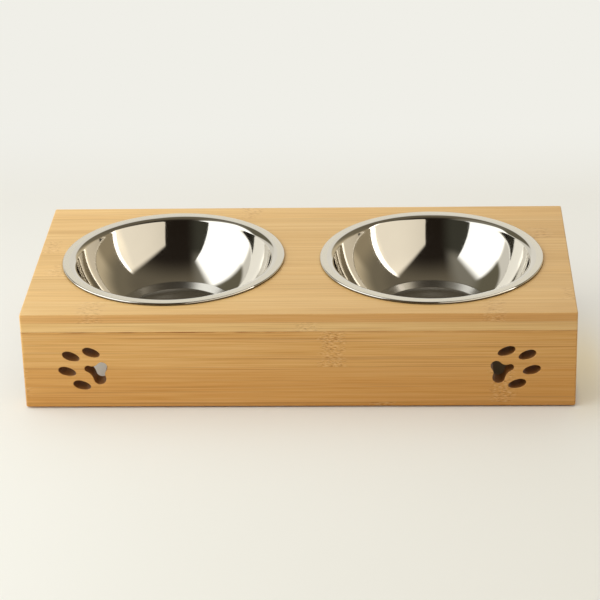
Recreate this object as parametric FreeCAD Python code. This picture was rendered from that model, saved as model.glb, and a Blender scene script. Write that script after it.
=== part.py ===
"""Raised dog bowl stand: a bamboo board on a front and a back panel, holding two steel bowls.

Millimetres. The origin is the centre of the footprint on the floor, +X runs along the length, +Y to
the back and +Z up. The paw cut-outs are in the front panel, which faces -Y.
"""
import FreeCAD, Part
import math
import os

# Bowls, each one pressed sheet of steel
sheet_thickness = 0.7
mouth_radius = 78.4
brim_width = 5.3
shoulder_radius = 6.2
shoulder_turn_degrees = 50.0
crease_radius = 1.5
lip_radius = 1.0
bowl_depth = 45.5
wall_lean_degrees = 15.5
wall_foot_radius = 44.2
step_height = 4.2
step_turn_degrees = 11.5
step_round = 1.6
bottom_fillet = 1.5

# Top board, laid out round the brims of the bowls
rim_gap = 26.6
rim_end_margin = 19.3
rim_side_margin = 14.3
top_thickness = 14.0
bowl_clearance = 3.0
hole_edge_round = 0.8

# Panels that carry the top board
panel_height = 60.4
panel_thickness = 13.5

# Worked edges of the boards
corner_round = 1.5
edge_round = 1.0
joint_chamfer = 0.3

# Paw cut-outs
paw_span = 36.8
paw_end_inset = 43.6
paw_edge_chamfer = 0.3
toe_length = 13.2
toe_width = 6.8
toe_blunt_share = 0.43
toe_place_shares = ((0.223, 0.293), (-0.182, 0.375), (0.315, -0.035), (0.035, -0.337))
toe_tilts_degrees = (21.0, 21.0, 16.0, 16.0)
pad_lobe_place_shares = ((-0.375, 0.052), (-0.329, -0.198), (-0.100, 0.024))
pad_upper_lobe_radius = 4.1
pad_lower_lobe_radius = 4.5
pad_tip_lobe_radius = 2.5
pad_neck_radius = 4.5
pad_lower_hollow_radius = 9.0
pad_upper_hollow_radius = 5.0

# Glued dowels between the top board and the panels
dowel_radius = 3.0
dowel_clearance = 0.05
dowel_in_top = 9.0
dowel_in_panel = 16.0
dowel_end_room = 0.8
dowel_end_chamfer = 0.8
dowel_end_inset = 14.0
dowel_groove_radius = 0.3
dowel_groove_count = 12
dowels_per_panel = 4

# Rubber feet
foot_radius = 4.5
foot_height = 1.0
foot_edge_round = 0.3
foot_end_inset = 20.0

# How far a cutting tool reaches past the face that it opens, and how near counts as the same place
overrun = 5.0
same_place_share = 1e-5

# Sizes and levels that follow from the ones above
rim_radius = mouth_radius + brim_width
bowl_x = rim_radius + rim_gap / 2
stand_length = 2 * (bowl_x + rim_radius + rim_end_margin)
stand_width = 2 * (rim_radius + rim_side_margin)
shoulder_turn = math.radians(shoulder_turn_degrees)
shoulder_width = shoulder_radius * math.sin(shoulder_turn)
bowl_hole_radius = mouth_radius - shoulder_width + sheet_thickness + bowl_clearance
dowel_hole_radius = dowel_radius + dowel_clearance
panel_y = (stand_width - panel_thickness) / 2
panel_bottom = foot_height
panel_top = panel_bottom + panel_height
board_top = panel_top + top_thickness
brim_top = board_top + 2 * lip_radius
dowel_pitch = (stand_length - 2 * dowel_end_inset) / (dowels_per_panel - 1)
same_place = same_place_share * overrun

ALONG_Y = FreeCAD.Vector(0, 1, 0)
UP = FreeCAD.Vector(0, 0, 1)
SIDES = {"left": -1, "right": 1}
PANELS = {"front": -1, "back": 1}


def vector(x, y, z):
    return FreeCAD.Vector(x, y, z)


def board(length, depth, height, centre_y, bottom):
    """A plain board, centred on x = 0 and on centre_y, with its upright corners rounded."""
    corner = vector(-length / 2, centre_y - depth / 2, bottom)
    block = Part.makeBox(length, depth, height, corner)
    upright = [edge for edge in block.Edges if edge.BoundBox.ZLength > height / 2]
    return block.makeFillet(corner_round, upright)


def edges_at_level(shape, level):
    """The edges that lie wholly in the horizontal plane at a level."""
    found = []
    for edge in shape.Edges:
        box = edge.BoundBox
        if abs(box.ZMin - level) < same_place and abs(box.ZMax - level) < same_place:
            found.append(edge)
    return found


def inner_edges(shape, outward, distance):
    """The edges of the openings in the flat face that lies at a distance along its outward direction."""
    found = []
    for face in shape.Faces:
        flat = isinstance(face.Surface, Part.Plane)
        if flat and abs(face.CenterOfMass.dot(outward) - distance) < same_place:
            for wire in face.Wires:
                if not wire.isSame(face.OuterWire):
                    found.extend(wire.Edges)
    return found


def dowel_places(side):
    """The x and y of each dowel along one panel."""
    first_x = dowel_end_inset - stand_length / 2
    return [(first_x + index * dowel_pitch, side * panel_y) for index in range(dowels_per_panel)]


def dowel_hole(x, y):
    """The space of one blind hole in the top board and the one in line with it in the panel."""
    depth_in_panel = dowel_in_panel + dowel_end_room
    depth = depth_in_panel + dowel_in_top + dowel_end_room
    return Part.makeCylinder(dowel_hole_radius, depth, vector(x, y, panel_top - depth_in_panel), UP)


def make_top_board():
    blank = board(stand_length, stand_width, top_thickness, 0, panel_top)
    blank = blank.makeChamfer(joint_chamfer, edges_at_level(blank, panel_top))
    blank = blank.makeFillet(edge_round, edges_at_level(blank, board_top))
    for side in SIDES.values():
        base = vector(side * bowl_x, 0, panel_top - overrun)
        blank = blank.cut(Part.makeCylinder(bowl_hole_radius, top_thickness + 2 * overrun, base, UP))
    blank = blank.makeFillet(hole_edge_round, inner_edges(blank, UP, board_top))
    for side in PANELS.values():
        for x, y in dowel_places(side):
            blank = blank.cut(dowel_hole(x, y))
    return blank


def make_panel(side):
    """One upright panel with the dowel holes in its top face."""
    blank = board(stand_length, panel_thickness, panel_height, side * panel_y, panel_bottom)
    blank = blank.makeChamfer(joint_chamfer, edges_at_level(blank, panel_top))
    blank = blank.makeFillet(edge_round, edges_at_level(blank, panel_bottom))
    for x, y in dowel_places(side):
        blank = blank.cut(dowel_hole(x, y))
    return blank


def paw_point(place_shares, side):
    """A place on the front panel's middle plane, from shares of the paw's span about its centre."""
    outward, upward = place_shares
    paw_x = stand_length / 2 - paw_end_inset
    paw_z = panel_bottom + panel_height / 2
    return vector(side * (paw_x + outward * paw_span), -panel_y, paw_z + upward * paw_span)


def through_panel(outline):
    """The prism of an outline on the panel's middle plane, right through the panel."""
    reach = panel_thickness / 2 + overrun
    face = Part.Face(outline)
    face.translate(-reach * ALONG_Y)
    return face.extrude(2 * reach * ALONG_Y)


def toe_outline(place_shares, tilt_degrees, side):
    """An egg: a short half ellipse at the outer end and a longer one at the inner end."""
    centre = paw_point(place_shares, side)
    tilt = math.radians(tilt_degrees)
    outward = vector(side * math.cos(tilt), 0, math.sin(tilt))
    across = vector(-side * math.sin(tilt), 0, math.cos(tilt))
    outer_reach = toe_blunt_share * toe_length
    widest = centre + (toe_length / 2 - outer_reach) * outward
    half_width = toe_width / 2
    edges = []
    for direction, reach in ((outward, outer_reach), (-outward, toe_length - outer_reach)):
        ellipse = Part.Ellipse(widest + reach * direction, widest + half_width * across, widest)
        start = ellipse.parameter(widest - half_width * across)
        middle = ellipse.parameter(widest + reach * direction)
        end = ellipse.parameter(widest + half_width * across)
        turn = 2 * math.pi
        if (middle - start) % turn > (end - start) % turn:
            start, end = end, start
        edges.append(Part.ArcOfEllipse(ellipse, start, end).toShape())
    return Part.Wire(Part.sortEdges(edges)[0])


def hollow_centre(first, first_radius, second, second_radius, hollow_radius, away_from):
    """The centre of the arc that joins two lobes from outside, on the side away from a point."""
    span = second - first
    distance = span.Length
    along = vector(span.x / distance, 0, span.z / distance)
    across = vector(-along.z, 0, along.x)
    if across.dot(away_from - first) > 0:
        across = -across
    reach = hollow_radius + first_radius
    other_reach = hollow_radius + second_radius
    forward = (reach ** 2 - other_reach ** 2 + distance ** 2) / (2 * distance)
    return first + forward * along + math.sqrt(reach ** 2 - forward ** 2) * across


def arc_about(centre, radius, start, end, through):
    """The arc from start to end about a centre that passes on the side of a third point."""
    direction = through - centre
    middle = centre + radius / direction.Length * direction
    return Part.Arc(start, middle, end).toShape()


def pad_outline(side):
    """Three round lobes joined by hollow arcs that touch them smoothly."""
    lobes = [paw_point(place, side) for place in pad_lobe_place_shares]
    radii = (pad_upper_lobe_radius, pad_lower_lobe_radius, pad_tip_lobe_radius)
    hollow_radii = (pad_neck_radius, pad_lower_hollow_radius, pad_upper_hollow_radius)
    middle = vector(0, 0, 0)
    for lobe in lobes:
        middle = middle + lobe / len(lobes)
    starts = []
    ends = []
    edges = []
    for index, hollow_radius in enumerate(hollow_radii):
        after = (index + 1) % len(lobes)
        lobe_pair = lobes[index], lobes[after]
        centre = hollow_centre(lobe_pair[0], radii[index], lobe_pair[1], radii[after], hollow_radius, middle)
        touches = []
        for lobe in lobe_pair:
            towards = lobe - centre
            touches.append(centre + hollow_radius / towards.Length * towards)
        halfway = (touches[0] + touches[1]) / 2
        edges.append(arc_about(centre, hollow_radius, touches[0], touches[1], halfway))
        starts.append(touches[0])
        ends.append(touches[1])
    for index, lobe in enumerate(lobes):
        outside = lobe + (lobe - middle)
        edges.append(arc_about(lobe, radii[index], ends[index - 1], starts[index], outside))
    return Part.Wire(Part.sortEdges(edges)[0])


def make_front_panel():
    panel = make_panel(PANELS["front"])
    for side in SIDES.values():
        outlines = [pad_outline(side)]
        for place, tilt in zip(toe_place_shares, toe_tilts_degrees):
            outlines.append(toe_outline(place, tilt, side))
        for outline in outlines:
            panel = panel.cut(through_panel(outline))
    return panel.makeChamfer(paw_edge_chamfer, inner_edges(panel, -ALONG_Y, stand_width / 2))


def make_dowel(x, y):
    """A grooved dowel with chamfered ends."""
    length = dowel_in_top + dowel_in_panel
    base = vector(x, y, panel_top - dowel_in_panel)
    dowel = Part.makeCylinder(dowel_radius, length, base, UP)
    rings = edges_at_level(dowel, base.z) + edges_at_level(dowel, base.z + length)
    dowel = dowel.makeChamfer(dowel_end_chamfer, rings)
    grooves = []
    for index in range(dowel_groove_count):
        angle = 2 * math.pi * index / dowel_groove_count
        foot = base + dowel_radius * vector(math.cos(angle), math.sin(angle), 0) - overrun * UP
        grooves.append(Part.makeCylinder(dowel_groove_radius, length + 2 * overrun, foot, UP))
    return dowel.cut(grooves)


def make_foot(x_side, y_side):
    """A round rubber pad, with the edge that meets the floor rounded."""
    centre = vector(x_side * (stand_length / 2 - foot_end_inset), y_side * panel_y, 0)
    pad = Part.makeCylinder(foot_radius, foot_height, centre, UP)
    return pad.makeFillet(foot_edge_round, edges_at_level(pad, 0))


def from_down(angle):
    """The unit vector in a bowl's section at an angle from straight down.

    In the section radii run along x from the bowl's axis, and heights along z from the brim's upper side.
    """
    return vector(math.sin(angle), 0, -math.cos(angle))


def brim_turn():
    """The centres of the shoulder inside the brim and of the crease that turns it into the wall."""
    shoulder_centre = vector(mouth_radius, 0, -shoulder_radius)
    crease_centre = shoulder_centre - (shoulder_radius - crease_radius) * from_down(shoulder_turn)
    return shoulder_centre, crease_centre


def wall_arc():
    """The bowl's wall arc, inside: its centre, radius, top angle and bottom angle from straight down.

    The arc leaves the crease at the wall's lean and ends at the wall's foot, above the base's step.
    """
    shoulder_centre, crease_centre = brim_turn()
    top_angle = math.radians(90 - wall_lean_degrees)
    top = crease_centre - crease_radius * from_down(top_angle)
    foot = vector(wall_foot_radius, 0, step_height - bowl_depth)
    rise = top - foot
    radius = rise.dot(rise) / (2 * from_down(top_angle).dot(rise))
    centre = top - radius * from_down(top_angle)
    down = foot - centre
    bottom_angle = math.atan2(down.x, -down.z)
    return centre, radius, top_angle, bottom_angle


def base_step():
    """The step from the wall's foot to the flat bottom, inside: the centres of its two rounds and its slope."""
    wall_centre, wall_radius, top_angle, bottom_angle = wall_arc()
    slope = bottom_angle + math.radians(step_turn_degrees)
    upper = wall_centre + (wall_radius + step_round) * from_down(bottom_angle)
    slope_top = upper - step_round * from_down(slope)
    drop = slope_top.z + bowl_depth - bottom_fillet * (1 - math.cos(slope))
    slope_foot = slope_top - drop * vector(1 / math.tan(slope), 0, 1)
    lower = slope_foot - bottom_fillet * from_down(slope)
    return upper, lower, slope


def sheet_side(depth_in_sheet):
    """The edges of one side of the bowl's sheet, from the axis to the end of its rolled lip.

    depth_in_sheet is 0 for the upper side and the sheet's thickness for the under side.
    """
    def swing(centre, radius, start_angle, end_angle):
        angles = (start_angle, (start_angle + end_angle) / 2, end_angle)
        return [centre + radius * from_down(angle) for angle in angles]

    wall_centre, wall_radius, top_angle, bottom_angle = wall_arc()
    step_centre, fillet_centre, slope = base_step()
    shoulder_centre, crease_centre = brim_turn()
    lip_centre = vector(rim_radius - lip_radius, 0, -lip_radius)
    back = math.pi
    arcs = [
        swing(fillet_centre, bottom_fillet + depth_in_sheet, 0, slope),
        swing(step_centre, step_round - depth_in_sheet, slope - back, bottom_angle - back),
        swing(wall_centre, wall_radius + depth_in_sheet, bottom_angle, top_angle),
        swing(crease_centre, crease_radius - depth_in_sheet, top_angle - back, shoulder_turn - back),
        swing(shoulder_centre, shoulder_radius - depth_in_sheet, shoulder_turn - back, -back),
        swing(lip_centre, lip_radius - depth_in_sheet, back, 0),
    ]
    points = [vector(0, 0, -bowl_depth - depth_in_sheet)]
    edges = []
    for arc in arcs:
        start = arc[0]
        if (start - points[-1]).Length > same_place:
            edges.append(Part.LineSegment(points[-1], start).toShape())
        edges.append(Part.Arc(*arc).toShape())
        points.append(arc[-1])
    return edges, points[0], points[-1]


def make_bowl(side):
    """A bowl turned from the section of its sheet, with its rolled lip standing on the top board."""
    upper, upper_middle, upper_end = sheet_side(0)
    under, under_middle, under_end = sheet_side(sheet_thickness)
    ends = [Part.LineSegment(upper_middle, under_middle).toShape(),
            Part.LineSegment(upper_end, under_end).toShape()]
    section = Part.Face(Part.Wire(Part.sortEdges(upper + under + ends)[0]))
    bowl = section.revolve(vector(0, 0, 0), UP, 360)
    bowl.translate(vector(side * bowl_x, 0, brim_top))
    return bowl


def all_nodes():
    """Every piece by its node name."""
    nodes = {
        "top_board": make_top_board(),
        "front_panel": make_front_panel(),
        "back_panel": make_panel(PANELS["back"]),
    }
    for row, y_side in PANELS.items():
        for index, (x, y) in enumerate(dowel_places(y_side), start=1):
            nodes[f"{row}_dowel_{index}"] = make_dowel(x, y)
        for end, x_side in SIDES.items():
            nodes[f"foot_{row}_{end}"] = make_foot(x_side, y_side)
    for end, side in SIDES.items():
        nodes[f"bowl_{end}"] = make_bowl(side)
    return nodes


os.makedirs("parts", exist_ok=True)
for node_name, shape in all_nodes().items():
    shape.exportStep(f"parts/{node_name}.step")
    print(node_name, shape.isValid(), len(shape.Solids), round(shape.Volume, 2))
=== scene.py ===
"""Finishes, bowl meshes, studio light and camera of a bamboo dog bowl stand with two steel bowls.

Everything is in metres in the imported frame: +Z up, the front panel towards -Y, the stand's middle at x = 0.
Grain, strips and knuckles are written in millimetres, because that is the scale at which they are seen.
"""
import math
from collections import namedtuple

import bpy
from mathutils import Matrix, Quaternion, Vector


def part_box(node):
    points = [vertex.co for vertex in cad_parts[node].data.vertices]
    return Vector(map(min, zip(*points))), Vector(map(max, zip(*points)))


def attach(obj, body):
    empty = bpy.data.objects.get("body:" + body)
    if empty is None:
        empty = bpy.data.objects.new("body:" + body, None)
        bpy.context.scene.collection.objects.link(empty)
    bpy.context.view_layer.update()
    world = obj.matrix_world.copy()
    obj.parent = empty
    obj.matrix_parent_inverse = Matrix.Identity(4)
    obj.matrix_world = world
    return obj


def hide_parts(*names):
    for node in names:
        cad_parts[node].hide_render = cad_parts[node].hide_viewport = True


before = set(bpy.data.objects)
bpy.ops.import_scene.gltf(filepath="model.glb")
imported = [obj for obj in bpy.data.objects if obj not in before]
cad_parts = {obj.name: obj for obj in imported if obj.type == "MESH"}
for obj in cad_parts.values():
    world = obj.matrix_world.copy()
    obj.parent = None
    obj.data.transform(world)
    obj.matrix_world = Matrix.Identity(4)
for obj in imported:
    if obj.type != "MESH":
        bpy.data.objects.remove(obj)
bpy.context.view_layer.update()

MM = 0.001

# The bowl's sheet, as the solids have it
SHEET_THICKNESS = 0.0007
MOUTH_RADIUS = 0.0784
SHOULDER_RADIUS = 0.0062
SHOULDER_TURN_DEGREES = 50.0
CREASE_RADIUS = 0.0015
LIP_RADIUS = 0.0010
BOWL_DEPTH = 0.0455
WALL_LEAN_DEGREES = 15.5
WALL_FOOT_RADIUS = 0.0442
STEP_HEIGHT = 0.0042
STEP_TURN_DEGREES = 11.5
STEP_ROUND = 0.0016
BOTTOM_FILLET = 0.0015
BOWL_SEGMENTS = 192

# The photograph's camera
CAMERA_PLACE = (0.0782, -1.5770, 0.7808)
CAMERA_LENS = 137.88
CAMERA_SENSOR = 36.0
CAMERA_PITCH_DEGREES = 25.12
CAMERA_YAW_DEGREES = -2.93
CAMERA_ROLL_DEGREES = 1.54


def srgb(red, green, blue):
    """A colour as it looks on screen, 0 to 255, as the linear colour that a shader takes."""
    linear = []
    for value in (red, green, blue):
        share = value / 255
        linear.append(share / 12.92 if share <= 0.04045 else ((share + 0.055) / 1.055) ** 2.4)
    return (*linear, 1.0)


class Tree:
    """A node tree under construction, where each input takes a plain value or another node's output."""

    def __init__(self, owner):
        self.owner = owner
        owner.use_nodes = True
        self.tree = owner.node_tree
        self.tree.nodes.clear()

    def add(self, kind, inputs=None, **settings):
        node = self.tree.nodes.new("ShaderNode" + kind)
        for name, setting in settings.items():
            setattr(node, name, setting)
        for key, value in (inputs or {}).items():
            if isinstance(value, bpy.types.NodeSocket):
                self.tree.links.new(value, node.inputs[key])
            else:
                node.inputs[key].default_value = value
        return node

    def math(self, operation, first, second=0.0, third=0.0):
        return self.add("Math", {0: first, 1: second, 2: third}, operation=operation).outputs[0]

    def weigh(self, value, weight, start):
        """value times weight, added to start."""
        return self.math("MULTIPLY_ADD", value, weight, start)

    def rise(self, value, low, high):
        """0 below low, 1 above high and smooth between them. With low above high it falls instead."""
        node = self.add("MapRange", {0: value, 1: low, 2: high}, interpolation_type="SMOOTHSTEP")
        return node.outputs[0]

    def band(self, value, climb, fall):
        """1 between two slopes, each given as the value where it starts and the one where it ends."""
        return self.math("MULTIPLY", self.rise(value, *climb), self.rise(value, *fall))

    def mix(self, share, first, second, blend="MIX"):
        inputs = {0: share, 6: first, 7: second}
        return self.add("Mix", inputs, data_type="RGBA", blend_type=blend).outputs[2]

    def stretch(self, vector, scale, offset=(0.0, 0.0, 0.0)):
        inputs = {0: vector, 1: scale, 2: offset}
        return self.add("VectorMath", inputs, operation="MULTIPLY_ADD").outputs[0]

    def noise(self, vector, detail=2.0, roughness=0.5):
        inputs = {"Vector": vector, "Scale": 1.0, "Detail": detail, "Roughness": roughness}
        return self.add("TexNoise", inputs).outputs[0]

    def cells(self, vector):
        """The distance to the nearest of many scattered points."""
        return self.add("TexVoronoi", {"Vector": vector, "Scale": 1.0}).outputs["Distance"]

    def ramp(self, value, stops, interpolation="LINEAR"):
        node = self.add("ValToRGB", {0: value})
        node.color_ramp.interpolation = interpolation
        elements = node.color_ramp.elements
        while len(elements) < len(stops):
            elements.new(1.0)
        for element, (position, colour) in zip(elements, stops):
            element.position = position
            element.color = colour
        return node.outputs[0]

    def object_mm(self):
        """The point on the surface in the object's own frame, in millimetres."""
        return self.stretch(self.add("TexCoord").outputs["Object"], (1 / MM, 1 / MM, 1 / MM))

    def parts(self, vector):
        return self.add("SeparateXYZ", {0: vector}).outputs[:]

    def bump(self, height, size):
        """The surface's normal where height, from 0 to 1, stands for size metres."""
        return self.add("Bump", {"Height": height, "Strength": 1.0, "Distance": size}).outputs[0]

    def surface(self, **sockets):
        """A Principled surface with these inputs, joined to the material's output."""
        inputs = {name.replace("_", " "): value for name, value in sockets.items()}
        shader = self.add("BsdfPrincipled", inputs)
        self.add("OutputMaterial", {"Surface": shader.outputs[0]})


# Bamboo: each board is two layers of strips glued side by side, with the fibres along X

Strip = namedtuple("Strip", "width tone warmth knuckle")
Wood = namedtuple("Wood", "tree colour rough height axes normal")
BAMBOO_LIGHT = srgb(243, 209, 150)
BAMBOO_MIDDLE = srgb(229, 187, 121)
BAMBOO_DARK = srgb(200, 150, 83)
BAMBOO_WARM = srgb(211, 139, 49)
FIBRE_BROWN = srgb(156, 95, 42)
SEAM_BROWN = srgb(120, 72, 32)
KNUCKLE_CREAM = srgb(246, 216, 164)
# Painted shade for the walls of the panels' cut-outs
CUTOUT_SHADE_BROWN = srgb(122, 70, 28)
BOARD_LENGTH = 400.0
BOARD_DEPTH = 196.0
TOP_LOWER_THICKNESS = 7.2

# Strips of the top board from front to back, in its upper and lower layer
TOP_UPPER = (
    Strip(22, 0.97, 0.05, 141), Strip(20, 1.00, 0.00, -90), Strip(24, 0.96, 0.02, 80),
    Strip(22, 1.00, 0.00, 110), Strip(21, 0.97, 0.03, -75), Strip(23, 1.00, 0.00, 95),
    Strip(20, 0.98, 0.02, -110), Strip(22, 1.00, 0.00, 60), Strip(22, 1.05, 0.00, -44),
)
TOP_LOWER = (
    Strip(28, 1.00, 0.00, 7), Strip(26, 0.95, 0.05, -120), Strip(27, 0.98, 0.00, 40),
    Strip(28, 0.94, 0.04, 150), Strip(29, 0.97, 0.02, -20), Strip(28, 0.95, 0.00, 90),
    Strip(30, 0.98, 0.03, -150),
)
# Strips of the panels from the bottom up, in the outer and inner layer
FRONT_OUTER = (Strip(3.3, 0.87, 0.68, 60), Strip(28.7, 0.95, 0.54, 148), Strip(28.4, 0.98, 0.36, 25))
FRONT_INNER = (Strip(18.0, 0.92, 0.34, -60), Strip(26.4, 0.96, 0.28, 110), Strip(16.0, 0.90, 0.36, -140))
BACK_OUTER = (Strip(12.4, 0.91, 0.42, -118), Strip(27.0, 0.96, 0.30, 84), Strip(21.0, 0.93, 0.38, -32))
BACK_INNER = (Strip(24.0, 0.93, 0.34, 20), Strip(20.4, 0.90, 0.38, -100), Strip(16.0, 0.95, 0.30, 130))


def strip_lookup(tree, place, strips):
    """What the strip at this place across a layer is like: tone, warmth and knuckle share, and its seams.

    place runs from 0 at the first strip's outer edge, in millimetres.
    """
    seam_half_width = 0.35
    whole = sum(strip.width for strip in strips)
    share = tree.math("DIVIDE", place, whole)
    clear = (0.0, 0.0, 0.0, 1.0)
    glued = (1.0, 1.0, 1.0, 1.0)
    kinds = []
    seams = [(0.0, clear)]
    start = 0.0
    for strip in strips:
        knuckle_share = 0.5 + strip.knuckle / BOARD_LENGTH
        kinds.append((start / whole, (strip.tone, strip.warmth, knuckle_share, 1.0)))
        if start > 0:
            seams.append(((start - seam_half_width) / whole, clear))
            seams.append((start / whole, glued))
            seams.append(((start + seam_half_width) / whole, clear))
        start += strip.width
    return tree.ramp(share, kinds, "CONSTANT"), tree.ramp(share, seams)


def bamboo(name, layers, across, through, internode, contrast, drift, front_edge_shade=0.0):
    """Laminated bamboo. across and through are (axis, start): where strips and layers are counted from.

    layers is (first strips, second strips, first layer's thickness), internode is the knuckles' spacing,
    contrast how strongly the fibres show, front_edge_shade how much painted shade browns the second layer's
    front edge, and drift how much painted light makes the left end paler and less brown than the middle.
    """
    layer_seam_half_width = 0.30
    tree = Tree(bpy.data.materials.new(name))
    place = tree.add("TexCoord").outputs
    point = tree.stretch(place["Object"], (1 / MM, 1 / MM, 1 / MM))
    axes = dict(zip("xyz", tree.parts(point)))
    across_place = tree.math("SUBTRACT", axes[across[0]], across[1])
    through_place = tree.math("SUBTRACT", axes[through[0]], through[1])
    first_strips, second_strips, split = layers

    # Which strip the point is in
    second_layer = tree.math("GREATER_THAN", through_place, split)
    first_kind, first_seams = strip_lookup(tree, across_place, first_strips)
    second_kind, second_seams = strip_lookup(tree, across_place, second_strips)
    kind = tree.mix(second_layer, first_kind, second_kind)
    seams = tree.mix(second_layer, first_seams, second_seams)
    layer_gap = tree.math("ABSOLUTE", tree.math("SUBTRACT", through_place, split))
    seam = tree.math("MAXIMUM", seams, tree.rise(layer_gap, layer_seam_half_width, 0.0))
    tone, warmth, knuckle_share = tree.parts(kind)

    # Each strip has fibres of its own
    seed = tree.weigh(knuckle_share, 61.0, tree.math("MULTIPLY", tone, 347.0))
    shift = tree.add("CombineXYZ", {0: seed, 1: seed, 2: seed}).outputs[0]
    own = tree.add("VectorMath", {0: point, 1: shift}, operation="ADD").outputs[0]
    broad = tree.noise(tree.stretch(own, (0.004, 0.10, 0.10)), detail=1.0)
    streak = tree.noise(tree.stretch(own, (0.008, 0.80, 0.80)), detail=2.0)
    fine = tree.noise(tree.stretch(own, (0.020, 1.70, 1.70)), detail=1.0)
    line = tree.noise(tree.stretch(own, (0.006, 1.80, 1.80), (90.0, 40.0, 20.0)))
    line = tree.rise(line, 0.56, 0.68)
    value = tree.weigh(tree.math("SUBTRACT", broad, 0.5), 0.50 * contrast, 0.52)
    value = tree.weigh(tree.math("SUBTRACT", streak, 0.5), 0.85 * contrast, value)
    value = tree.weigh(tree.math("SUBTRACT", fine, 0.5), 0.75 * contrast, value)
    colour = tree.ramp(value, ((0.15, BAMBOO_DARK), (0.5, BAMBOO_MIDDLE), (0.85, BAMBOO_LIGHT)))
    normal = tree.parts(place["Normal"])
    # Painted shade: the second layer's front edge, which faces the front, goes browner than the top face
    front_edge = tree.math("MULTIPLY", second_layer, tree.rise(normal[1], -0.5, -0.9))
    warmth = tree.math("MAXIMUM", warmth, tree.math("MULTIPLY", front_edge, front_edge_shade))
    # Painted light: paler and less brown towards the left end, browner towards the right, as the light falls
    # from the left
    warmth = tree.weigh(axes["x"], 2 * drift / BOARD_LENGTH, warmth)
    colour = tree.mix(warmth, colour, BAMBOO_WARM)
    colour = tree.mix(tree.math("MULTIPLY", line, 0.40 * contrast), colour, FIBRE_BROWN)

    # Knuckles: short pale and dark dashes where the cane's joints were
    along = tree.weigh(knuckle_share, -BOARD_LENGTH, tree.math("ADD", axes["x"], BOARD_LENGTH / 2))
    wander = tree.noise(tree.stretch(own, (0.02, 0.25, 0.25)), detail=1.0)
    along = tree.weigh(tree.math("SUBTRACT", wander, 0.5), 16.0, along)
    along = tree.math("WRAP", along, internode / 2, -internode / 2)
    zone = tree.rise(tree.math("ABSOLUTE", along), 12.0, 4.0)
    dash = tree.noise(tree.stretch(own, (0.30, 1.90, 1.90), (7.0, 3.0, 5.0)), detail=2.0)
    pale = tree.math("MULTIPLY", tree.rise(dash, 0.53, 0.64), zone)
    dark = tree.math("MULTIPLY", tree.rise(dash, 0.46, 0.35), zone)
    colour = tree.mix(tree.math("MULTIPLY", pale, 0.50 * contrast), colour, KNUCKLE_CREAM)
    colour = tree.mix(tree.math("MULTIPLY", dark, 0.75 * contrast), colour, FIBRE_BROWN)

    # Seams, fading in and out along the board
    seam_strength = tree.rise(tree.noise(tree.stretch(own, (0.02, 0.05, 0.05))), 0.30, 0.70)
    seam = tree.math("MULTIPLY", seam, tree.math("MULTIPLY", seam_strength, 0.45 * contrast))
    colour = tree.mix(seam, colour, SEAM_BROWN)
    # Painted light: the tone falls from the left end to the right
    tone = tree.math("MULTIPLY", tone, tree.weigh(axes["x"], -2 * drift / BOARD_LENGTH, 1.0))
    shade = tree.add("CombineColor", {0: tone, 1: tone, 2: tone}).outputs[0]
    colour = tree.mix(1.0, colour, shade, "MULTIPLY")

    height = tree.weigh(dark, -0.4, tree.weigh(seam, -0.6, value))
    rough = tree.weigh(fine, 0.16, 0.38)
    return Wood(tree, colour, rough, height, axes, normal)


def bamboo_top(name, low):
    """The top board's bamboo: two layers of strips, with painted shade browning the upper layer's front edge.
    """
    layers = (TOP_LOWER, TOP_UPPER, TOP_LOWER_THICKNESS)
    wood = bamboo(name, layers, ("y", low.y / MM), ("z", low.z / MM),
                  internode=290.0, contrast=0.62, drift=0.075, front_edge_shade=0.48)
    relief = wood.tree.bump(wood.height, 0.00004)
    wood.tree.surface(Base_Color=wood.colour, Roughness=wood.rough, Normal=relief)
    return wood.tree.owner


def bamboo_panel(name, first_strips, second_strips, low, high):
    """A panel's bamboo, with a glue line under the top board and painted shade on the walls of the cut-outs.
    """
    bottom = low.z / MM
    top = high.z / MM
    end = BOARD_LENGTH / 2
    layers = (first_strips, second_strips, (high.y - low.y) / MM / 2)
    wood = bamboo(name, layers, ("z", bottom), ("y", low.y / MM),
                  internode=355.0, contrast=0.9, drift=0.045)
    tree = wood.tree
    x, z = wood.axes["x"], wood.axes["z"]

    # The glue line, in dashes, is plain at the left and faint at the right
    along = tree.add("CombineXYZ", {0: tree.math("MULTIPLY", x, 0.03), 1: 0.0, 2: 0.0}).outputs[0]
    in_line = tree.rise(z, top - 1.0, top - 0.5)
    glue = tree.math("MULTIPLY", in_line, tree.rise(tree.noise(along), 0.40, 0.60))
    glue_strength = tree.weigh(tree.rise(x, 30.0, -10.0), 0.50, 0.25)
    colour = tree.mix(tree.math("MULTIPLY", glue, glue_strength), wood.colour, FIBRE_BROWN)

    # Painted shade: the walls of the cut-outs, the faces that look sideways away from the panel's own edges,
    # go dark brown
    sideways = tree.rise(tree.math("ABSOLUTE", wood.normal[1]), 0.6, 0.3)
    within_x = tree.rise(tree.math("ABSOLUTE", x), end - 4, end - 5)
    within_z = tree.band(z, (bottom + 3, bottom + 4), (top - 3, top - 4))
    cut = tree.math("MULTIPLY", sideways, tree.math("MULTIPLY", within_x, within_z))
    colour = tree.mix(tree.math("MULTIPLY", cut, 0.8), colour, CUTOUT_SHADE_BROWN)
    relief = tree.bump(wood.height, 0.00006)
    tree.surface(Base_Color=colour, Roughness=wood.rough, Specular_IOR_Level=0.25, Normal=relief)
    return tree.owner


# Steel, rubber and dowel wood

# Painted shade under each bowl's lip, next to the board
LIP_SHADE_BROWN = srgb(74, 63, 50)


def shaded(tint, share):
    """The same hue at a share of its brightness."""
    return tuple(share * part for part in tint[:3]) + (1.0,)


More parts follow.
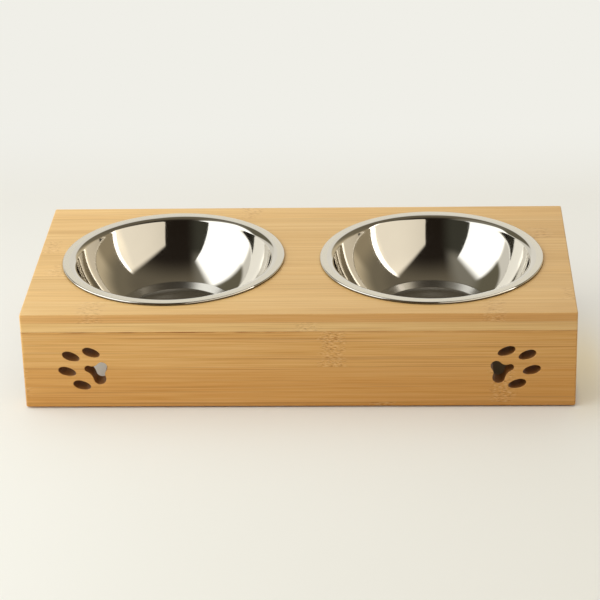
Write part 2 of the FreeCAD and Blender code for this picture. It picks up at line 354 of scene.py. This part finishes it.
def steel(name, tint, roughness, spread, wave_size, line_size):
    """Stainless steel turned on a lathe: faint rings round the bowl's axis over a slow waviness.

    spread is how much the roughness varies, and wave_size and line_size are the relief of the waviness and
    the rings. The pressed base is duller than the wall; painted shade browns and roughens the lip by the
    board.
    """
    mouth = MOUTH_RADIUS / MM
    wall_foot = WALL_FOOT_RADIUS / MM
    base_brightness = 0.64
    base_dullness = 0.17
    lip_shade_dullness = 0.30
    tree = Tree(bpy.data.materials.new(name))
    point = tree.object_mm()
    x, y, z = tree.parts(point)
    flat = tree.add("CombineXYZ", {0: x, 1: y, 2: 0.0}).outputs[0]
    radius = tree.add("VectorMath", {0: flat}, operation="LENGTH").outputs["Value"]
    rings = tree.add("CombineXYZ", {0: tree.weigh(radius, 2.2, z), 1: 0.0, 2: 0.0}).outputs[0]
    ring = tree.noise(rings, detail=2.0)
    cloud = tree.noise(tree.stretch(point, (0.05, 0.05, 0.05)), detail=3.0)
    wave = tree.noise(tree.stretch(point, (0.03, 0.03, 0.05)), detail=1.0)
    colour = tree.mix(cloud, tint, shaded(tint, 0.94))
    # Painted shade: the lip's lower half, next to the board, goes brown and rougher
    on_lip = tree.rise(radius, mouth + 3.0, mouth + 4.2)
    lip_shade = tree.math("MULTIPLY", on_lip, tree.rise(z, -0.4, -1.3))
    colour = tree.mix(lip_shade, colour, LIP_SHADE_BROWN)
    on_base = tree.rise(radius, wall_foot + 1.0, wall_foot - 0.6)
    colour = tree.mix(on_base, colour, shaded(tint, base_brightness))
    dullness = tree.weigh(lip_shade, lip_shade_dullness, tree.weigh(cloud, spread, roughness))
    dullness = tree.weigh(on_base, base_dullness, dullness)
    slow = tree.bump(wave, wave_size)
    lines = {"Height": ring, "Strength": 1.0, "Distance": line_size, "Normal": slow}
    normal = tree.add("Bump", lines).outputs[0]
    tree.surface(Base_Color=colour, Metallic=1.0, Roughness=dullness, Normal=normal)
    return tree.owner


def rubber(name):
    """Grey rubber with a fine tooth and a little dust."""
    tree = Tree(bpy.data.materials.new(name))
    point = tree.object_mm()
    tooth = tree.noise(tree.stretch(point, (3.0, 3.0, 3.0)), detail=2.0)
    dust = tree.noise(tree.stretch(point, (0.4, 0.4, 0.4)), detail=3.0)
    colour = tree.mix(dust, srgb(58, 56, 54), srgb(92, 88, 84))
    rough = tree.weigh(dust, 0.2, 0.65)
    tree.surface(Base_Color=colour, Roughness=rough, Normal=tree.bump(tooth, 0.00004))
    return tree.owner


def dowel_wood(name):
    """Pale hardwood with its grain upright, along the dowel."""
    tree = Tree(bpy.data.materials.new(name))
    point = tree.object_mm()
    grain = tree.noise(tree.stretch(point, (1.6, 1.6, 0.05)), detail=3.0)
    pore = tree.rise(tree.cells(tree.stretch(point, (2.5, 2.5, 0.2))), 0.28, 0.08)
    colour = tree.ramp(grain, ((0.3, srgb(206, 168, 118)), (0.7, srgb(232, 202, 156))))
    colour = tree.mix(tree.math("MULTIPLY", pore, 0.4), colour, srgb(150, 108, 66))
    rough = tree.weigh(grain, 0.2, 0.55)
    tree.surface(Base_Color=colour, Roughness=rough, Normal=tree.bump(grain, 0.00005))
    return tree.owner


def dress_boards():
    """The bamboo boards, dowels and feet keep their solids and take their finishes."""
    finishes = {
        "top_board": bamboo_top("bamboo_top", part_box("top_board")[0]),
        "front_panel": bamboo_panel("bamboo_front", FRONT_OUTER, FRONT_INNER, *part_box("front_panel")),
        "back_panel": bamboo_panel("bamboo_back", BACK_INNER, BACK_OUTER, *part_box("back_panel")),
    }
    foot_finish = rubber("rubber_foot")
    dowel_finish = dowel_wood("dowel_wood")
    for node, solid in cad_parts.items():
        if node.startswith("foot_"):
            finish = foot_finish
        elif "_dowel_" in node:
            finish = dowel_finish
        elif node in finishes:
            finish = finishes[node]
        else:
            continue
        solid.data.materials.clear()
        solid.data.materials.append(finish)


# Bowls: turned from the section of the sheet, with the finish changing along it

SheetPoint = namedtuple("SheetPoint", "radius height finish")
INSIDE, BRIM, OUTSIDE = range(3)


def from_down(angle):
    """The unit vector (radius, height) at an angle from straight down."""
    return Vector((math.sin(angle), -math.cos(angle)))


def sheet_side(depth_in_sheet, rim_radius):
    """Points along one side of the sheet, from the axis to the lip's end.

    depth_in_sheet is 0 for the upper side; heights are from the brim's upper side.
    """
    top_angle = math.radians(90 - WALL_LEAN_DEGREES)
    shoulder_turn = math.radians(SHOULDER_TURN_DEGREES)
    lip_centre = Vector((rim_radius - LIP_RADIUS, -LIP_RADIUS))
    shoulder_centre = Vector((MOUTH_RADIUS, -SHOULDER_RADIUS))
    crease_centre = shoulder_centre - (SHOULDER_RADIUS - CREASE_RADIUS) * from_down(shoulder_turn)
    wall_top = crease_centre - CREASE_RADIUS * from_down(top_angle)
    wall_foot = Vector((WALL_FOOT_RADIUS, STEP_HEIGHT - BOWL_DEPTH))
    rise = wall_top - wall_foot
    wall_radius = rise.dot(rise) / (2 * from_down(top_angle).dot(rise))
    wall_centre = wall_top - wall_radius * from_down(top_angle)
    down = wall_foot - wall_centre
    foot_angle = math.atan2(down.x, -down.y)

    # The step between the wall's foot and the flat bottom
    slope = foot_angle + math.radians(STEP_TURN_DEGREES)
    step_centre = wall_centre + (wall_radius + STEP_ROUND) * from_down(foot_angle)
    slope_top = step_centre - STEP_ROUND * from_down(slope)
    drop = slope_top.y + BOWL_DEPTH - BOTTOM_FILLET * (1 - math.cos(slope))
    slope_foot = slope_top - drop * Vector((1 / math.tan(slope), 1.0))
    fillet_centre = slope_foot - BOTTOM_FILLET * from_down(slope)

    points = []

    def swing(centre, radius, start, end, steps, finish):
        """Adds points on an arc between two angles from straight down."""
        for step in range(steps + 1):
            place = centre + radius * from_down(start + (end - start) * step / steps)
            points.append(SheetPoint(place.x, place.y, finish))

    back = math.pi
    floor_rings = 5
    for ring in range(floor_rings):
        radius = fillet_centre.x * ring / floor_rings
        points.append(SheetPoint(radius, -BOWL_DEPTH - depth_in_sheet, INSIDE))
    swing(fillet_centre, BOTTOM_FILLET + depth_in_sheet, 0, slope, 8, INSIDE)
    swing(step_centre, STEP_ROUND - depth_in_sheet, slope - back, foot_angle - back, 6, INSIDE)
    swing(wall_centre, wall_radius + depth_in_sheet, foot_angle, top_angle, 40, INSIDE)
    swing(crease_centre, CREASE_RADIUS - depth_in_sheet, top_angle - back, shoulder_turn - back, 8, INSIDE)
    swing(shoulder_centre, SHOULDER_RADIUS - depth_in_sheet, shoulder_turn - back, -back, 16, INSIDE)
    points.append(SheetPoint(lip_centre.x, -depth_in_sheet, BRIM))
    swing(lip_centre, LIP_RADIUS - depth_in_sheet, back, 0, 16, INSIDE)
    return points


def without_repeats(points):
    """The points, less each one that lies on the one before it."""
    closest = 0.00001
    kept = [points[0]]
    for point in points[1:]:
        if math.hypot(point.radius - kept[-1].radius, point.height - kept[-1].height) > closest:
            kept.append(point)
    return kept


def turned_mesh(name, section):
    """A closed mesh turned round Z from a section that starts and ends on the axis."""
    vertices = []
    rings = []
    for point in section:
        count = BOWL_SEGMENTS if point.radius > 0 else 1
        rings.append(range(len(vertices), len(vertices) + count))
        for index in range(count):
            angle = 2 * math.pi * index / count
            flat = (point.radius * math.cos(angle), point.radius * math.sin(angle))
            vertices.append((*flat, point.height))
    faces = []
    finishes = []
    for near, far, point in zip(rings, rings[1:], section[1:]):
        for index in range(BOWL_SEGMENTS):
            following = (index + 1) % BOWL_SEGMENTS
            corners = [near[index % len(near)], far[index % len(far)],
                       far[following % len(far)], near[following % len(near)]]
            faces.append(list(dict.fromkeys(corners)))
            finishes.append(point.finish)
    mesh = bpy.data.meshes.new(name)
    mesh.from_pydata(vertices, [], faces)
    mesh.polygons.foreach_set("material_index", finishes)
    mesh.shade_smooth()
    mesh.set_sharp_from_angle(angle=math.radians(40))
    return mesh


def make_bowls():
    """A polished bowl with a satin brim in place of each plain solid."""
    finishes = (
        steel("steel_polished", srgb(218, 214, 206), roughness=0.03, spread=0.05,
              wave_size=0.00010, line_size=0.0000004),
        steel("steel_brim", srgb(222, 217, 204), roughness=0.16, spread=0.08,
              wave_size=0.00002, line_size=0.000002),
        steel("steel_outside", srgb(200, 197, 190), roughness=0.20, spread=0.10,
              wave_size=0.00005, line_size=0.000002),
    )
    for side in ("left", "right"):
        node = "bowl_" + side
        low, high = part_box(node)
        rim_radius = (high.x - low.x) / 2
        upper = without_repeats(sheet_side(0.0, rim_radius))
        under = without_repeats(sheet_side(SHEET_THICKNESS, rim_radius))
        under_back = [point._replace(finish=OUTSIDE) for point in reversed(under)]
        name = "steel_bowl_" + side
        bowl = bpy.data.objects.new(name, turned_mesh(name, upper + under_back))
        for finish in finishes:
            bowl.data.materials.append(finish)
        bpy.context.scene.collection.objects.link(bowl)
        bowl.location = ((low.x + high.x) / 2, (low.y + high.y) / 2, high.z)
        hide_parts(node)
        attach(bowl, node)


# Studio: soft panels, a soft room and a pale floor

BACKDROP_PALE = srgb(240, 239, 232)


def pointing(azimuth_degrees, elevation_degrees):
    """The unit vector towards a compass direction: azimuth 0 is +Y, 90 is +X."""
    azimuth = math.radians(azimuth_degrees)
    elevation = math.radians(elevation_degrees)
    flat = math.cos(elevation)
    return Vector((math.sin(azimuth) * flat, math.cos(azimuth) * flat, math.sin(elevation)))


def panel(name, place, facing, size, radiance, colour, fade, roll_degrees=0.0):
    """A flat soft light. place is its middle, in metres.

    facing is the (azimuth, elevation) that its back looks to, size its width and height, and radiance how
    bright it looks, where 1 is white. fade is three shares: of its width, over which it climbs from its
    first side edge; of its brightness, which it has at that edge; and of its height, over which it falls
    to nothing at the top, or 0 where it doesn't.
    """
    lamp = bpy.data.lights.new(name, "AREA")
    lamp.shape = "RECTANGLE"
    lamp.size, lamp.size_y = size
    lamp.color = colour
    lamp.energy = 4 * lamp.size * lamp.size_y * radiance
    climb_share, edge_share, fall_share = fade
    tree = Tree(lamp)
    across, upward = tree.parts(tree.add("NewGeometry").outputs["Parametric"])[:2]
    strength = tree.weigh(tree.rise(across, 0.0, climb_share), 1.0 - edge_share, edge_share)
    if fall_share > 0:
        strength = tree.math("MULTIPLY", strength, tree.rise(upward, 1.0, 1.0 - fall_share))
    glow = tree.add("Emission", {"Strength": strength})
    tree.add("OutputLight", {"Surface": glow.outputs[0]})
    shown = bpy.data.objects.new(name, lamp)
    shown.location = place
    shown.rotation_mode = "QUATERNION"
    roll = Quaternion((0.0, 0.0, 1.0), math.radians(roll_degrees))
    shown.rotation_quaternion = pointing(*facing).to_track_quat("Z", "Y") @ roll
    shown.visible_camera = False
    bpy.context.scene.collection.objects.link(shown)
    return shown


def light_studio():
    """An upright key panel at the left, and at the right a leaning cream card with a white edge.

    The key is lit harder in the metal than on the boards, as a photograph's highlights are; the card and
    its edge are seen in the metal only.
    """
    cool_white = (0.91, 1.0, 1.06)
    soft_white = (0.98, 1.0, 1.0)
    cream = (1.0, 0.92, 0.77)
    warm_white = (1.0, 0.98, 0.94)
    key = panel("key_panel", (-0.64, -0.22, 0.66), (-100, 0), (1.20, 1.26), 1.15, cool_white,
                fade=(0.3, 0.0, 0.0))
    key.visible_glossy = False
    shine = panel("key_shine", (-0.587, -0.148, 0.539), (-90, 11), (0.87, 1.03), 1.3, soft_white,
                  fade=(0.12, 0.0, 0.22), roll_degrees=15)
    card = panel("cream_card", (0.367, -0.638, 0.478), (100, 1), (1.32, 1.11), 0.90, cream,
                 fade=(1.0, 0.84, 0.16), roll_degrees=-15)
    edge = panel("white_edge", (0.472, -0.030, 0.317), (100, 1), (0.05, 1.11), 1.7, warm_white,
                 fade=(0.7, 0.5, 0.30), roll_degrees=-15)
    for reflected in (shine, card, edge):
        reflected.visible_diffuse = False


def seen_directly(tree):
    """Two shares: 1 on rays that the camera, metal or glass sends out, and 1 on the camera's rays alone."""
    path = tree.add("LightPath").outputs
    mirrored = tree.math("MAXIMUM", path["Is Glossy Ray"], path["Is Transmission Ray"])
    return tree.math("MAXIMUM", path["Is Camera Ray"], mirrored), path["Is Camera Ray"]


def fill_light(tree, x, y, z):
    """The room's light on things: pale from above, darker low down on the camera side and at the right."""
    to_right = tree.rise(x, 0.10, 0.60)
    horizon = tree.mix(tree.rise(y, -0.25, 0.15), srgb(112, 100, 80), srgb(222, 216, 204))
    horizon = tree.mix(to_right, horizon, srgb(120, 99, 60))
    height = tree.weigh(to_right, -0.35, z)
    return tree.mix(tree.rise(height, 0.0, 0.75), horizon, srgb(249, 245, 234))


def mirrored_room(tree, x, y, z):
    """What metal sees of the room: a pale backdrop straight behind, dimmer sides and a dark camera side."""
    left_back = tree.mix(tree.rise(z, 0.36, 0.44), srgb(235, 232, 222), srgb(110, 105, 88))
    right_low = tree.mix(tree.rise(y, 0.20, 0.40), srgb(162, 148, 121), srgb(211, 195, 163))
    right_back = tree.mix(tree.rise(z, 0.25, 0.60), right_low, srgb(126, 117, 98))
    back = tree.mix(tree.rise(x, 0.10, -0.20), right_back, left_back)
    front = tree.mix(tree.rise(x, -0.15, -0.45), srgb(36, 30, 24), srgb(66, 65, 56))
    behind = tree.weigh(tree.rise(x, 0.60, 0.92), 0.30, y)
    room = tree.mix(tree.rise(behind, -0.12, 0.05), front, back)
    ceiling = tree.mix(tree.rise(y, -0.55, 0.15), srgb(38, 32, 26), srgb(112, 104, 88))
    ceiling = tree.mix(tree.rise(x, -0.20, -0.45), ceiling, srgb(140, 136, 124))
    room = tree.mix(tree.rise(z, 0.66, 0.84), room, ceiling)
    straight_back = tree.weigh(tree.math("ABSOLUTE", x), -1.1, y)
    return tree.mix(tree.rise(straight_back, 0.38, 0.56), room, srgb(248, 245, 236))


def make_world():
    """A soft room, which the camera sees as an even pale backdrop."""
    world = bpy.data.worlds.new("room")
    bpy.context.scene.world = world
    tree = Tree(world)
    x, y, z = tree.parts(tree.add("TexCoord").outputs["Generated"])
    seen, camera = seen_directly(tree)
    shown = tree.mix(camera, mirrored_room(tree, x, y, z), BACKDROP_PALE)
    light = tree.mix(seen, fill_light(tree, x, y, z), shown)
    background = tree.add("Background", {"Color": light, "Strength": 1.0})
    tree.add("OutputWorld", {"Surface": background.outputs[0]})


def floor_paper():
    """Pale paper that keeps the stand's shadow and is as pale as the backdrop further off."""
    tree = Tree(bpy.data.materials.new("floor_paper"))
    point = tree.object_mm()
    sideways, behind = tree.parts(point)[:2]
    seen, camera = seen_directly(tree)

    # The paper itself, with painted shade inside the stand near its right paw
    cloud = tree.noise(tree.stretch(point, (0.004, 0.004, 0.004)), detail=3.0)
    colour = tree.mix(cloud, srgb(238, 237, 232), srgb(241, 240, 236))
    inner_end = tree.band(sideways, (60.0, 130.0), (196.0, 160.0))
    inner_side = tree.band(behind, (-98.0, -84.0), (15.0, -25.0))
    shade = tree.math("MULTIPLY", inner_end, inner_side)
    colour = tree.mix(shade, colour, srgb(132, 126, 116))
    inputs = {"Base Color": colour, "Roughness": 0.9, "Specular IOR Level": 0.1}
    paper = tree.add("BsdfPrincipled", inputs)

    # How pale it looks: wholly so far off, in part round the stand as painted light that lifts its shadow,
    # and not under it
    away = tree.add("VectorMath", {0: point}, operation="LENGTH").outputs["Value"]
    paleness = tree.math("MAXIMUM", tree.rise(away, 320.0, 900.0), tree.rise(behind, 120.0, 480.0))
    past_end = tree.math("SUBTRACT", tree.math("ABSOLUTE", sideways), BOARD_LENGTH / 2)
    past_side = tree.math("SUBTRACT", tree.math("ABSOLUTE", behind), BOARD_DEPTH / 2)
    outside = tree.rise(tree.math("MAXIMUM", past_end, past_side), 0.0, 6.0)
    shadow_lift_share = tree.weigh(tree.rise(behind, -130.0, 0.0), 0.40, 0.10)
    paleness = tree.math("MAXIMUM", paleness, tree.math("MULTIPLY", outside, shadow_lift_share))

    # The pale look, with painted warm bounce light next to the stand's right end
    beside_end = tree.band(sideways, (190.0, 205.0), (245.0, 212.0))
    beside_side = tree.band(behind, (-150.0, -95.0), (90.0, -40.0))
    warm_bounce = tree.math("MULTIPLY", beside_end, beside_side)
    pale_colour = tree.mix(warm_bounce, BACKDROP_PALE, srgb(236, 217, 174))
    pale = tree.add("Emission", {"Color": pale_colour, "Strength": 1.0})
    seen_pale = tree.math("MULTIPLY", seen, paleness)
    both = tree.add("MixShader", {0: seen_pale, 1: paper.outputs[0], 2: pale.outputs[0]})

    # The floor towards the camera, which metal sees dark
    dark_side = tree.add("Emission", {"Color": srgb(18, 15, 12), "Strength": 1.0})
    mirrored = tree.math("SUBTRACT", seen, camera)
    front = tree.math("MULTIPLY", mirrored, tree.rise(behind, -300.0, -650.0))
    whole = tree.add("MixShader", {0: front, 1: both.outputs[0], 2: dark_side.outputs[0]})
    tree.add("OutputMaterial", {"Surface": whole.outputs[0]})
    return tree.owner


def make_floor():
    """A wide flat floor under the stand."""
    reach = 6.0
    mesh = bpy.data.meshes.new("floor")
    corners = [(-reach, -reach, 0), (reach, -reach, 0), (reach, reach, 0), (-reach, reach, 0)]
    mesh.from_pydata(corners, [], [(0, 1, 2, 3)])
    mesh.materials.append(floor_paper())
    floor = bpy.data.objects.new("floor", mesh)
    bpy.context.scene.collection.objects.link(floor)


def make_camera():
    """A camera where the photograph's stood, with its pitch, yaw and roll."""
    pitch, yaw, roll = (math.radians(angle) for angle in
                        (CAMERA_PITCH_DEGREES, CAMERA_YAW_DEGREES, CAMERA_ROLL_DEGREES))
    ahead = Vector((math.sin(yaw) * math.cos(pitch), math.cos(yaw) * math.cos(pitch), -math.sin(pitch)))
    level = Vector((math.cos(yaw), -math.sin(yaw), 0.0))
    down = ahead.cross(level)
    right = math.cos(roll) * level + math.sin(roll) * down
    up = math.sin(roll) * level - math.cos(roll) * down
    turned = Matrix((right, up, -ahead)).transposed().to_4x4()
    camera = bpy.data.objects.new("camera", bpy.data.cameras.new("camera"))
    camera.data.lens = CAMERA_LENS
    camera.data.sensor_width = CAMERA_SENSOR
    camera.matrix_world = Matrix.Translation(CAMERA_PLACE) @ turned
    bpy.context.scene.collection.objects.link(camera)
    bpy.context.scene.camera = camera


bpy.context.scene.view_settings.view_transform = "Standard"
dress_boards()
make_bowls()
light_studio()
make_world()
make_floor()
make_camera()
